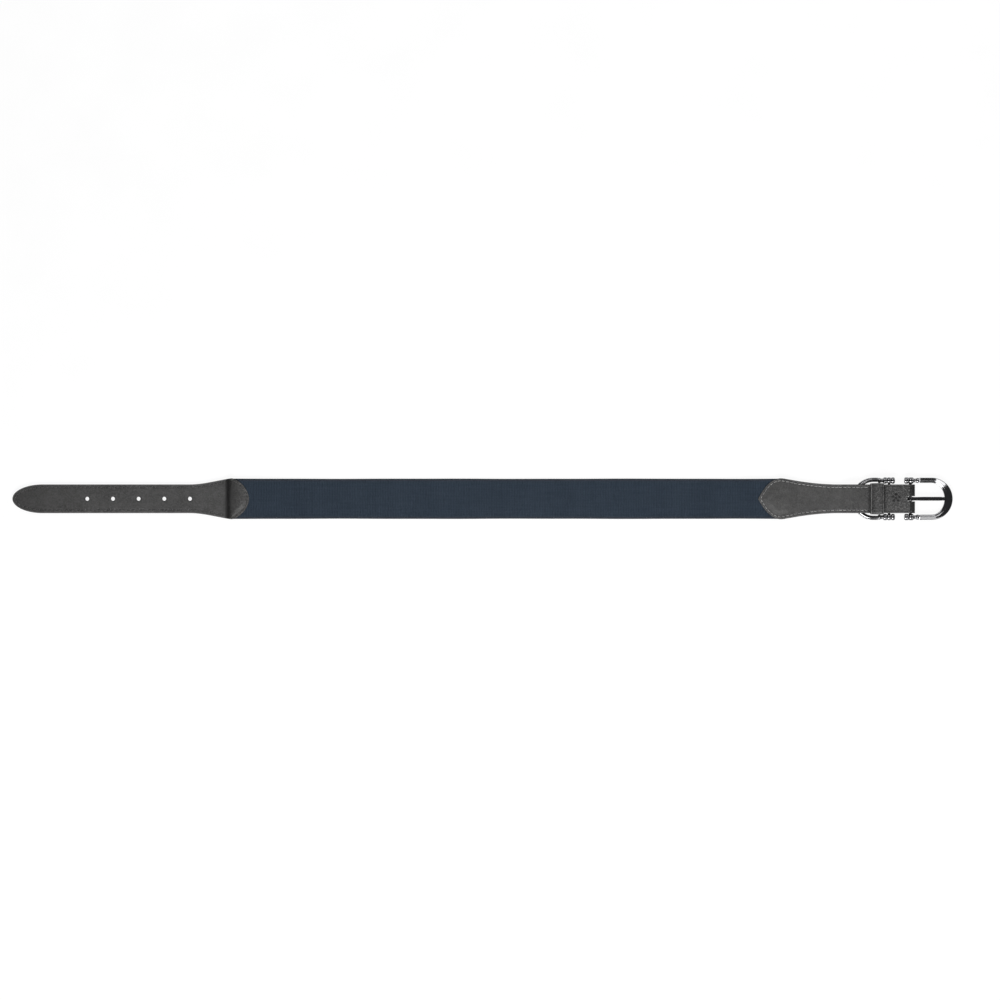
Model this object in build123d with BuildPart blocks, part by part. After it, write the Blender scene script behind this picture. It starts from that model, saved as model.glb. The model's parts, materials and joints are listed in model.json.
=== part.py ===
"""Stretch riding belt: a leather billet, an elastic middle and a D-buckle held in a folded leather chape.

+X runs along the belt from the billet's tip to the buckle, +Y across it and +Z out of its face.
The origin lies under the middle of the belt, on the surface that it rests on. Millimetres throughout.
"""
import os
from math import sqrt

from build123d import *

os.makedirs("parts", exist_ok=True)

# ---- driving dimensions -------------------------------------------------------------------------
total_length = 930.0
tip_x = -total_length / 2
bow_x = total_length / 2

strap_width = 28.4        # billet and buckle strap
band_width = 40.0         # elastic
shoulder_width = 40.6     # leather where it covers the elastic
ply = 1.6                 # leather thickness
lining_ply = 1.4
band_ply = 1.6            # elastic thickness
play = 0.1                # room on each side of a ply inside a sewn pocket

strap_half = strap_width / 2
shoulder_half = shoulder_width / 2
cutter_height = 40.0

# ---- billet: punched strap, flare and cap over the elastic ---------------------------------------
tip_length = 29.7
hole_count = 5
hole_pitch = 25.4
hole_radius = 2.0
first_hole_x = tip_x + 74.0
last_hole_x = first_hole_x + (hole_count - 1) * hole_pitch
billet_shoulder_x = -248.0
cap_tip_x = -230.7
flare_slope = 0.13        # how fast the half-width still grows where the flare meets the cap
climb_length = 8.5        # the top ply climbs over the end of the elastic
climb_end_x = billet_shoulder_x - 0.5

# ---- chape: one strip, pointed over the elastic and folded round the buckle bar --------------------
point_x = 272.3
chape_shoulder_x = 295.0
taper_end_x = 350.0
band_end_x = 299.0
dip_start_x = 300.0       # top leg drops off the end of the elastic
dip_end_x = 312.0
rise_start_x = 351.0      # top leg rises over the trim ring
rise_end_x = 364.0

# ---- metal: buckle, its bar and tongue, trim ring ------------------------------------------------
bar_x = 423.0
bar_radius = 1.6
bar_z = 3.55
fold_x = 424.0            # centre of the fold, a little beyond the bar
fold_inner = 1.95
slot_half = 2.6
slot_x = 419.0

ferrule_y = 18.1          # axis of the turned ferrules
rib_radius = 3.2
neck_radius = 2.1
neck_length = 2.4
bead_radius = 2.6
bead_length = 3.0

frame_outer = 20.85
frame_arm = 5.15
frame_bow = 8.0
frame_low = 0.5
frame_top = 5.3
frame_facet = 2.1         # width of the facets on the frame's upper face
frame_heel_x = 416.8
frame_ribs = 2
frame_rib_pitch = 4.7
frame_centre_x = bow_x - frame_outer

ring_outer = 20.9
ring_arm = 4.2
ring_bow = 5.0
ring_low = 1.85
ring_top = 5.25
ring_facet = 1.2
ring_centre_x = 386.2
ring_heel_x = 407.7
ring_ribs = 3
ring_rib_pitch = 3.83
ring_bar_radius = 1.4
ring_bar_x = ring_heel_x - ring_ribs * ring_rib_pitch / 2

tongue_width = 3.86
tongue_neck = 3.5
tongue_height = 3.4
tongue_tip_x = 455.4
eye_radius = 3.2
eye_clearance = 0.08
rest_length = 3.2         # ledge on the bow's inner edge that the tongue's tip lies over
rest_half = 1.7
rest_top = 1.5

# ---- keeper --------------------------------------------------------------------------------------
keeper_x = 383.0
keeper_length = 13.0
keeper_ply = 1.1
keeper_gap = 4.3          # height left over the strap for the billet
keeper_inner_half = 14.4
keeper_corner = 0.25

# ---- thread --------------------------------------------------------------------------------------
stitch_pitch = 4.1
stitch_length = 2.7
stitch_width = 0.6
stitch_height = 0.4
stitch_lift = 0.12        # keeps a straight stitch clear of a curved face
billet_inset = 3.2
cap_inset = 2.2
chape_inset = 2.9
point_inset = 2.2
keeper_stitch_rows = 2
keeper_stitch_pitch = 2.6

# ---- heights that follow from the plies ----------------------------------------------------------
band_on_lining = lining_ply + play
band_on_leg = ply + play
billet_cap_z = band_on_lining + band_ply + play
chape_over_band_z = band_on_leg + band_ply + play
chape_closed_z = ply + play
fold_outer = fold_inner + ply
leg_over_bar_z = bar_z + fold_inner


def smooth_step(x0, z0, x1, z1):
    """Control points of a curve that leaves (x0, z0) and reaches (x1, z1) level."""
    third = (x1 - x0) / 3
    return (x0, z0), (x0 + third, z0), (x1 - third, z1), (x1, z1)


def step_height(x, x0, z0, x1, z1):
    """Height of smooth_step at x."""
    t = min(max((x - x0) / (x1 - x0), 0), 1)
    return z0 + (z1 - z0) * t * t * (3 - 2 * t)


def billet_edge():
    """Upper edge of the billet, from its tip to the point of the cap."""
    straight_x = tip_x + tip_length
    flare_third = (billet_shoulder_x - last_hole_x) / 3
    EllipticalCenterArc((straight_x, 0), tip_length, strap_half, start_angle=180, arc_size=-90)
    Line((straight_x, strap_half), (last_hole_x, strap_half))
    Bezier(
        (last_hole_x, strap_half),
        (last_hole_x + flare_third, strap_half),
        (billet_shoulder_x - flare_third, shoulder_half - flare_slope * flare_third),
        (billet_shoulder_x, shoulder_half),
    )
    Bezier(
        (billet_shoulder_x, shoulder_half),
        (billet_shoulder_x + 8.0, shoulder_half - 1.6),
        (cap_tip_x - 0.9, shoulder_half / 2),
        (cap_tip_x, 0),
    )


def chape_edge(end_x):
    """Upper edge of the chape, from its point over the elastic to end_x on the strap."""
    Bezier(
        (point_x, 0),
        (point_x + 4.2, 7.0),
        (chape_shoulder_x - 12.5, shoulder_half - 0.7),
        (chape_shoulder_x, shoulder_half),
    )
    Bezier(
        (chape_shoulder_x, shoulder_half),
        (chape_shoulder_x + 7.0, shoulder_half - 0.4),
        (taper_end_x - 28.0, strap_half + 0.4),
        (taper_end_x, strap_half),
    )
    Line((taper_end_x, strap_half), (end_x, strap_half))


def billet_top(x):
    """Height of the billet's outer face."""
    start_x = climb_end_x - climb_length
    return ply + step_height(x, start_x, lining_ply, climb_end_x, billet_cap_z)


def chape_top(x):
    """Height of the chape's outer face."""
    if x < rise_start_x:
        return ply + step_height(x, dip_start_x, chape_over_band_z, dip_end_x, chape_closed_z)
    return ply + step_height(x, rise_start_x, chape_closed_z, rise_end_x, leg_over_bar_z)


def stitch_places(edge, inset, top, from_x, to_x):
    """Places for stitches at an even pitch, inset from an upper edge, and mirrored below it."""
    seam = edge.offset_2d(inset, side=Side.RIGHT, closed=False)
    count = int(seam.length / stitch_pitch)
    places = []
    for k in range(count):
        at = (k + 0.5) * stitch_pitch / seam.length
        point = seam @ at
        run = seam % at
        if not from_x < point.X < to_x or point.Y < stitch_length / 2:
            continue
        reach = run.X * stitch_length / 2
        rise = top(point.X + reach) - top(point.X - reach)
        height = (top(point.X + reach) + top(point.X - reach)) / 2 + stitch_lift
        for side in (1, -1):
            along = Vector(run.X * stitch_length, side * run.Y * stitch_length, rise)
            across = Vector(-side * run.Y, run.X, 0)
            origin = Vector(point.X, side * point.Y, height)
            places.append(Plane(origin, x_dir=along, z_dir=along.cross(across)))
    return places


def stitches(places):
    """One short straight length of thread at each place, lying on the leather."""
    with Locations(*places):
        Box(stitch_length, stitch_width, stitch_height, align=(Align.CENTER, Align.CENTER, Align.MIN))


def ferrule_half(heel, toward, ribs, pitch):
    """Half-section of a turned ferrule on its own axis: ribs, a neck and a bead."""
    for k in range(ribs):
        with Locations((heel + toward * (k + 0.5) * pitch, 0)):
            RectangleRounded(pitch, 2 * rib_radius, 1.1)
    neck_from = heel + toward * ribs * pitch
    bead_at = neck_from + toward * (neck_length + bead_length / 2)
    with Locations(((heel + bead_at) / 2 + toward * 0.6, 0)):
        Rectangle(abs(bead_at - heel) - 1.2, 2 * neck_radius)
    with Locations((bead_at, 0)):
        RectangleRounded(bead_length, 2 * bead_radius, 1.3)
    with Locations((heel, 0)):
        Rectangle(80, 10, align=(Align.CENTER, Align.MIN), mode=Mode.INTERSECT)


def ferrules(heel, toward, ribs, pitch):
    """The pair of ferrules that ends a D's two arms."""
    for side in (1, -1):
        axis_start = (0, side * ferrule_y, bar_z)
        with BuildSketch(Plane(axis_start, x_dir=(1, 0, 0), z_dir=(0, -1, 0))) as half:
            ferrule_half(heel, toward, ribs, pitch)
        revolve(half.sketch, axis=Axis(axis_start, (1, 0, 0)))


def d_plan(centre_x, outer, arm, bow, toward, arm_x):
    """Plan of a D without its bar: two straight arms to arm_x and a bow that thickens at its middle."""
    arm_length = abs(centre_x - arm_x)
    inner_half = outer - arm
    at_arms = Locations((centre_x - toward * arm_length / 2, 0))
    with Locations((centre_x, 0)):
        Circle(outer)
    with at_arms:
        Rectangle(arm_length, 2 * outer)
    with Locations((centre_x - toward * (arm_length + outer), 0)):
        Rectangle(2 * outer, 3 * outer, mode=Mode.SUBTRACT)
    with Locations((centre_x, 0)):
        Ellipse(outer - bow, inner_half, mode=Mode.SUBTRACT)
    with at_arms:
        Rectangle(arm_length, 2 * inner_half, mode=Mode.SUBTRACT)


def bar_pin(x, radius, half_length):
    """A round bar across the belt."""
    with Locations((x, 0, bar_z)):
        Cylinder(radius, 2 * half_length, rotation=(90, 0, 0))


def finish_part(builder, name):
    """Label a finished piece and write it."""
    builder.part.label = name
    export_step(builder.part, f"parts/{name}.step")


# ---- plans shared by more than one piece ---------------------------------------------------------
with BuildSketch() as billet_plan:
    with BuildLine():
        billet_edge()
        mirror(about=Plane.XZ)
    make_face()
    with Locations(*[(first_hole_x + k * hole_pitch, 0) for k in range(hole_count)]):
        Circle(hole_radius, mode=Mode.SUBTRACT)

with BuildSketch() as chape_plan:
    with BuildLine():
        chape_edge(fold_x + fold_outer)
        mirror(about=Plane.XZ)
        Line((fold_x + fold_outer, strap_half), (fold_x + fold_outer, -strap_half))
    make_face()
    with Locations((slot_x + slot_half, 0)):
        Circle(slot_half, mode=Mode.SUBTRACT)
        Rectangle(40, 2 * slot_half, align=(Align.MIN, Align.CENTER), mode=Mode.SUBTRACT)

# ---- billet --------------------------------------------------------------------------------------
with BuildPart() as billet_front:
    low = (climb_end_x - climb_length, lining_ply, climb_end_x, billet_cap_z)
    high = (climb_end_x - climb_length, lining_ply + ply, climb_end_x, billet_cap_z + ply)
    with BuildSketch(Plane.XZ):
        with BuildLine():
            Polyline((low[0], low[1]), (tip_x, low[1]), (tip_x, high[1]), (high[0], high[1]))
            Bezier(*smooth_step(*high))
            Polyline((high[2], high[3]), (cap_tip_x, high[3]), (cap_tip_x, low[3]), (low[2], low[3]))
            Bezier(*smooth_step(*low))
        make_face()
    extrude(amount=band_width, both=True)
    with BuildSketch():
        add(billet_plan.sketch)
    extrude(amount=cutter_height, mode=Mode.INTERSECT)
finish_part(billet_front, "billet_front")

with BuildPart() as billet_lining:
    with BuildSketch():
        add(billet_plan.sketch)
    extrude(amount=lining_ply)
finish_part(billet_lining, "billet_lining")

# ---- elastic -------------------------------------------------------------------------------------
with BuildPart() as elastic_band:
    left_fall = (cap_tip_x + 3.0, band_on_lining, cap_tip_x + 43.0, 0)
    right_rise = (point_x - 43.0, 0, point_x - 3.0, band_on_leg)
    left_top = (left_fall[0], band_on_lining + band_ply, left_fall[2], band_ply)
    right_top = (right_rise[0], band_ply, right_rise[2], band_on_leg + band_ply)
    with BuildSketch(Plane.XZ):
        with BuildLine():
            Bezier(*smooth_step(*left_fall))
            Line((left_fall[2], 0), (right_rise[0], 0))
            Bezier(*smooth_step(*right_rise))
            Polyline(
                (right_rise[2], right_rise[3]),
                (band_end_x, right_rise[3]),
                (band_end_x, right_top[3]),
                (right_top[2], right_top[3]),
            )
            Bezier(*smooth_step(*right_top))
            Line((right_top[0], band_ply), (left_top[2], band_ply))
            Bezier(*smooth_step(*left_top))
            Polyline(
                (left_top[0], left_top[1]),
                (billet_shoulder_x, left_top[1]),
                (billet_shoulder_x, left_fall[1]),
                (left_fall[0], left_fall[1]),
            )
        make_face()
    extrude(amount=band_width / 2, both=True)
finish_part(elastic_band, "elastic_band")

# ---- chape ---------------------------------------------------------------------------------------
with BuildPart() as chape_leather:
    dip_low = (dip_start_x, chape_over_band_z, dip_end_x, chape_closed_z)
    dip_high = (dip_start_x, chape_over_band_z + ply, dip_end_x, chape_closed_z + ply)
    rise_low = (rise_start_x, chape_closed_z, rise_end_x, leg_over_bar_z)
    rise_high = (rise_start_x, chape_closed_z + ply, rise_end_x, leg_over_bar_z + ply)
    with BuildSketch(Plane.XZ):
        with BuildLine():
            Line((point_x, 0), (fold_x, 0))
            ThreePointArc((fold_x, 0), (fold_x + fold_outer, bar_z), (fold_x, rise_high[3]))
            Line((fold_x, rise_high[3]), (rise_high[2], rise_high[3]))
            Bezier(*smooth_step(*rise_high))
            Line((rise_high[0], rise_high[1]), (dip_high[2], dip_high[3]))
            Bezier(*smooth_step(*dip_high))
            Polyline(
                (dip_high[0], dip_high[1]),
                (point_x, dip_high[1]),
                (point_x, dip_low[1]),
                (dip_low[0], dip_low[1]),
            )
            Bezier(*smooth_step(*dip_low))
            Line((dip_low[2], dip_low[3]), (rise_low[0], rise_low[1]))
            Bezier(*smooth_step(*rise_low))
            Line((rise_low[2], rise_low[3]), (fold_x, rise_low[3]))
            ThreePointArc((fold_x, rise_low[3]), (fold_x + fold_inner, bar_z), (fold_x, ply))
            Polyline((fold_x, ply), (point_x, ply), (point_x, 0))
        make_face()
    extrude(amount=band_width, both=True)
    with BuildSketch():
        add(chape_plan.sketch)
    extrude(amount=cutter_height, mode=Mode.INTERSECT)
finish_part(chape_leather, "chape_leather")

# ---- keeper: a loop round the top leg, with room over it for the billet -----------------------------
with BuildPart() as keeper_loop:
    loop_low = leg_over_bar_z - 0.05
    loop_high = leg_over_bar_z + ply + keeper_gap
    loop_height = loop_high - loop_low
    with BuildSketch(Plane.YZ.offset(keeper_x)):
        with Locations((0, (loop_low + loop_high) / 2)):
            RectangleRounded(
                2 * (keeper_inner_half + keeper_ply),
                loop_height + 2 * keeper_ply,
                keeper_corner + keeper_ply,
            )
            RectangleRounded(
                2 * keeper_inner_half, loop_height, keeper_corner, mode=Mode.SUBTRACT
            )
    extrude(amount=keeper_length)
finish_part(keeper_loop, "keeper_loop")

with BuildPart() as keeper_stitching:
    seam_z = loop_low - keeper_ply - stitch_height
    with Locations((keeper_x + keeper_length / 2, 0, seam_z)):
        with GridLocations(keeper_stitch_pitch, stitch_pitch, 4, keeper_stitch_rows):
            Box(
                stitch_width,
                stitch_length,
                stitch_height,
                align=(Align.CENTER, Align.CENTER, Align.MIN),
            )
finish_part(keeper_stitching, "keeper_stitching")

# ---- thread along the leather edges ----------------------------------------------------------------
with BuildLine() as billet_line:
    billet_edge()

with BuildLine() as chape_line:
    chape_edge(keeper_x - stitch_pitch)

billet_wire = billet_line.wire()
chape_wire = chape_line.wire()
seams = {
    "billet_stitching": (billet_wire, billet_inset, billet_top, tip_x, climb_end_x - climb_length),
    "billet_cap_stitching": (billet_wire, cap_inset, billet_top, climb_end_x, cap_tip_x),
    "chape_point_stitching": (chape_wire, point_inset, chape_top, point_x, chape_shoulder_x),
    "chape_edge_stitching": (chape_wire, chape_inset, chape_top, chape_shoulder_x, keeper_x),
}
for seam_name, seam_plan in seams.items():
    with BuildPart() as seam_thread:
        stitches(stitch_places(*seam_plan))
    finish_part(seam_thread, seam_name)

# ---- buckle frame ----------------------------------------------------------------------------------
with BuildPart() as buckle_frame:
    arm_start_x = frame_heel_x + frame_ribs * frame_rib_pitch + neck_length + bead_length / 2
    with BuildSketch(Plane.XY.offset(frame_low)):
        d_plan(frame_centre_x, frame_outer, frame_arm, frame_bow, 1, arm_start_x)
    extrude(amount=frame_top - frame_low)
    upper_edges = faces().sort_by(Axis.Z)[-1].edges().filter_by(
        lambda edge: edge.center().X > arm_start_x + 0.1
    )
    chamfer(upper_edges, length=frame_facet / 2, length2=frame_facet)
    with Locations((bow_x - frame_bow + 0.5, 0, frame_low)):
        Box(
            rest_length + 0.5,
            2 * rest_half,
            rest_top - frame_low,
            align=(Align.MAX, Align.CENTER, Align.MIN),
        )
    ferrules(frame_heel_x, 1, frame_ribs, frame_rib_pitch)
    with Locations((bar_x, 0, bar_z)):
        Cylinder(bar_radius, 3 * frame_outer, rotation=(90, 0, 0), mode=Mode.SUBTRACT)
finish_part(buckle_frame, "buckle_frame")

with BuildPart() as buckle_bar:
    bar_pin(bar_x, bar_radius, ferrule_y + sqrt(rib_radius**2 - bar_radius**2))
finish_part(buckle_bar, "buckle_bar")

# ---- tongue ----------------------------------------------------------------------------------------
with BuildPart() as buckle_tongue:
    half_height = tongue_height / 2
    with BuildSketch(Plane.XY.offset(bar_z - half_height)):
        with BuildLine():
            Polyline(
                (bar_x, 0),
                (bar_x, tongue_neck / 2),
                (bar_x + 4.5, tongue_neck / 2),
                (bar_x + 13.0, tongue_width / 2),
                (tongue_tip_x - 1.9, tongue_width / 2),
            )
            EllipticalCenterArc((tongue_tip_x - 1.9, 0), 1.9, tongue_width / 2, start_angle=0, arc_size=90)
            mirror(about=Plane.XZ)
        make_face()
    extrude(amount=tongue_height)
    rims = edges().filter_by(lambda edge: edge.center().X > bar_x + 0.1)
    long_rims = rims.filter_by(Plane.XY)
    fillet(long_rims, radius=1.1)
    with Locations((bar_x, 0, bar_z)):
        Cylinder(eye_radius, tongue_width, rotation=(90, 0, 0))
        Cylinder(bar_radius + eye_clearance, 2 * tongue_width, rotation=(90, 0, 0), mode=Mode.SUBTRACT)
finish_part(buckle_tongue, "buckle_tongue")

# ---- trim ring: a second D, facing the other way, whose bow lies between the legs of the chape ------
with BuildPart() as trim_ring:
    ring_arm_x = ring_heel_x - ring_ribs * ring_rib_pitch - neck_length - bead_length / 2
    with BuildSketch(Plane.XY.offset(ring_low)):
        d_plan(ring_centre_x, ring_outer, ring_arm, ring_bow, -1, ring_arm_x)
    extrude(amount=ring_top - ring_low)
    upper_edges = faces().sort_by(Axis.Z)[-1].edges().filter_by(
        lambda edge: edge.center().X < ring_arm_x - 0.1
    )
    chamfer(upper_edges, length=ring_facet / 2, length2=ring_facet)
    ferrules(ring_heel_x, -1, ring_ribs, ring_rib_pitch)
    with Locations((ring_bar_x, 0, bar_z)):
        Cylinder(ring_bar_radius, 3 * ring_outer, rotation=(90, 0, 0), mode=Mode.SUBTRACT)
finish_part(trim_ring, "trim_ring")

with BuildPart() as trim_ring_bar:
    bar_pin(ring_bar_x, ring_bar_radius, ferrule_y + sqrt(rib_radius**2 - ring_bar_radius**2))
finish_part(trim_ring_bar, "trim_ring_bar")
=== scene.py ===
import json
import math

import bmesh
import bpy
import numpy as np
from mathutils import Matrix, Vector


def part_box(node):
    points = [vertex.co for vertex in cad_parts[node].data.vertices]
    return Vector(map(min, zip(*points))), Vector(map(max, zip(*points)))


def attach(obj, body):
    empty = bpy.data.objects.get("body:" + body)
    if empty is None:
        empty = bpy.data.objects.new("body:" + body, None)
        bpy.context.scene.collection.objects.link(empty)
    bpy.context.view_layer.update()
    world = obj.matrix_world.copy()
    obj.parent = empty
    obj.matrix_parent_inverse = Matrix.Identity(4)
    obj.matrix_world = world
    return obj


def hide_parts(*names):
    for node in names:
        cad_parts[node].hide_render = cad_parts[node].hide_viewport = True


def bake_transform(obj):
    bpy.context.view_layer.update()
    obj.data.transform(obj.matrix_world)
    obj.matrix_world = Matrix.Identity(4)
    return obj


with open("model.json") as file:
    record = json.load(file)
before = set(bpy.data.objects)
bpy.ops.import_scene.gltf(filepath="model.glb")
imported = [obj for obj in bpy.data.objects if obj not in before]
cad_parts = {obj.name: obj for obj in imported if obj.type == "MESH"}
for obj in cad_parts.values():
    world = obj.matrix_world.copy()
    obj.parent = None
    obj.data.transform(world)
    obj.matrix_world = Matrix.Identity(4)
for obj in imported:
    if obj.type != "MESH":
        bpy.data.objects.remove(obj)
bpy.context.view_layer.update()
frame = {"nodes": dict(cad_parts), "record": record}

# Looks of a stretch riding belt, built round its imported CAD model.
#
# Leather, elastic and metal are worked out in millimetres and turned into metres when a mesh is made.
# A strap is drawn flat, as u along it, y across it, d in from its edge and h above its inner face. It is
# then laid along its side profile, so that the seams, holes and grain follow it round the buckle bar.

MM = 0.001
rng = np.random.default_rng(7)


def box_mm(node):
    """Lowest and highest corner of a CAD node in millimetres."""
    low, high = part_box(node)
    return np.array(low) / MM, np.array(high) / MM


# ---- sizes that follow from the frame ----
billet_low, billet_high = box_mm("billet_front")
lining_ply = box_mm("billet_lining")[1][2]
chape_low, chape_high = box_mm("chape_leather")
band_low, band_high = box_mm("elastic_band")
keeper_low, keeper_high = box_mm("keeper_loop")
frame_low, frame_high = box_mm("buckle_frame")
ring_low, ring_high = box_mm("trim_ring")
tongue_tip_x = box_mm("buckle_tongue")[1][0]
bar_low, bar_high = box_mm("buckle_bar")

tip_x, cap_tip_x = billet_low[0], billet_high[0]
point_x = chape_low[0]
bar_x = (bar_low[0] + bar_high[0]) / 2
bar_z = (bar_low[2] + bar_high[2]) / 2
band_half = band_high[1]
shoulder_half = chape_high[1]
hole_places = sorted(m["pos_m"][0] / MM for m in frame["record"]["mounts"] if m["kind"] == "bore")

# ---- sizes of the leather work ----
ply = 1.6
strap_half = 14.2
hole_radius = 2.0
tip_length = 29.7
billet_shoulder_x = band_low[0]
climb_end_x = billet_shoulder_x - 0.5
climb_start_x = climb_end_x - 8.5
climb_rise = billet_high[2] - ply - lining_ply
flare_slope = 0.13
chape_shoulder_x = point_x + 22.7
taper_end_x = point_x + 77.7
dip = (300.0, 3.4, 312.0, 1.7)          # chape's top leg: from x, z down to x, z
rise = (351.0, 1.7, 364.0, 5.5)         # and up over the trim ring
fold_x = 424.0
fold_inner = 1.95
fold_radius = fold_inner + ply / 2
fold_length = math.pi * fold_radius
fold_middle_u = fold_x + fold_length / 2
slot_x = 419.0
slot_half = 2.6
band_thickness = 1.6

stitch_pitch = 4.1
stitch_length = 3.1
thread_radius = 0.30
billet_inset = 3.2
cap_inset = 2.2
point_inset = 2.2
chape_inset = 2.9
billet_groove, cap_groove, chape_groove = 0.16, 0.22, 0.18      # depths of the seams' grooves
skived = 0.92                           # leather taken off at the cap's and the point's edge
skived_at_seam = 0.80                   # and at their seams
back_seam = 0.52                        # depth of the back seams' thread

LEATHER, EDGE, FLESH = 0, 1, 2          # material slots of a leather piece


# ---- curves ----
quarter = 0.5 * math.pi


def smooth(t):
    """0 to 1, level at both ends."""
    t = np.clip(t, 0, 1)
    return t * t * (3 - 2 * t)


def bell(x, width, power=2):
    """1 at 0, falling off over this width; squarer with a higher power."""
    return np.exp(-((x / width) ** power))


def bezier(*corners, count=160):
    """Points along a cubic curve."""
    t = np.linspace(0, 1, count)[:, None]
    p0, p1, p2, p3 = np.array(corners, float)
    return (1 - t) ** 3 * p0 + 3 * t * (1 - t) ** 2 * p1 + 3 * t * t * (1 - t) * p2 + t**3 * p3


def points_of(*coordinates):
    """Points from their coordinates, each a number or an array."""
    return np.stack(np.broadcast_arrays(*coordinates), axis=-1)


def arc(a, b, radius, start, count=6):
    """Points of a quarter circle round (a, b)."""
    angle = np.linspace(start, start + quarter, count)
    return points_of(a + radius * np.cos(angle), b + radius * np.sin(angle))


def unit(vectors):
    """Vectors of length 1."""
    return vectors / np.linalg.norm(vectors, axis=-1, keepdims=True)


def lengths_along(points):
    """Length from the first point to each point of a line."""
    steps = np.linalg.norm(np.diff(points, axis=0), axis=1)
    return np.concatenate([[0], np.cumsum(steps)])


def at_lengths(points, where):
    """Points of a line at the given lengths along it."""
    along = lengths_along(points)
    return points_of(*(np.interp(where, along, column) for column in points.T))


# ---- meshes ----
def numbered(*shape):
    """The numbers of a grid's points, counted row by row."""
    return np.arange(math.prod(shape)).reshape(shape)


def quads(numbers, closed=False):
    """Quads between neighbouring rows of numbered points, whose ends meet if they are closed."""
    after = np.roll(numbers, -1, axis=1)
    corners = np.stack([numbers[:-1], after[:-1], after[1:], numbers[1:]], axis=-1)
    return (corners if closed else corners[:, :-1]).reshape(-1, 4)


def lofted(rings):
    """Points and faces of a skin over closed rings, with flat ends."""
    numbers = numbered(len(rings), len(rings[0]))
    faces = quads(numbers, closed=True).tolist() + numbers[[0, -1]].tolist()
    return np.concatenate(rings), faces


def joined(parts):
    """One list of points and faces from several."""
    points, faces, first = [], [], 0
    for part_points, part_faces in parts:
        points.append(part_points)
        faces += [[corner + first for corner in face] for face in part_faces]
        first += len(part_points)
    return np.concatenate(points), faces


def merged(points, faces):
    """Joins points that lie on each other: the points kept, the faces left open and their numbers."""
    keys = np.round(points * 1e4).astype(np.int64)
    _, first, index = np.unique(keys, axis=0, return_index=True, return_inverse=True)
    index = index.ravel()
    kept, kept_of = [], []
    for number, face in enumerate(faces):
        corners = list(dict.fromkeys(index[list(face)].tolist()))
        if len(corners) > 2:
            kept.append(corners)
            kept_of.append(number)
    return first, kept, kept_of


def shown(name, data):
    """A new object in the scene."""
    made = bpy.data.objects.new(name, data)
    bpy.context.scene.collection.objects.link(made)
    return made


def mesh_piece(name, points, faces, materials, values=None, slots=None, strip=None):
    """A piece from points in millimetres. values are numbers on its points, slots a material for each
    face, and strip the flat (u, y) of each point, kept as the UV map "Strip" in metres."""
    first, faces, kept_of = merged(points, faces)
    mesh = bpy.data.meshes.new(name)
    mesh.from_pydata((points[first] * MM).tolist(), [], faces)
    for material in materials:
        mesh.materials.append(material)
    if slots is not None:
        mesh.polygons.foreach_set("material_index", slots[kept_of].astype(np.int32))
    if strip is not None:
        corners = np.zeros(len(mesh.loops), np.int32)
        mesh.loops.foreach_get("vertex_index", corners)
        layer = mesh.uv_layers.new(name="Strip")
        layer.data.foreach_set("uv", (strip[first][corners] * MM).astype(np.float32).ravel())
    for key, numbers in (values or {}).items():
        layer = mesh.attributes.new(key, "FLOAT", "POINT")
        layer.data.foreach_set("value", numbers[first].astype(np.float32))
    work = bmesh.new()
    work.from_mesh(mesh)
    bmesh.ops.recalc_face_normals(work, faces=work.faces)
    work.to_mesh(mesh)
    work.free()
    mesh.shade_smooth()
    return shown(name, mesh)


def declare(piece, body, slot, *nodes):
    """Says what a piece rides on and hides the CAD nodes that it stands for; slot is not used."""
    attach(piece, body)
    if nodes:
        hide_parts(*nodes)


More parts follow.
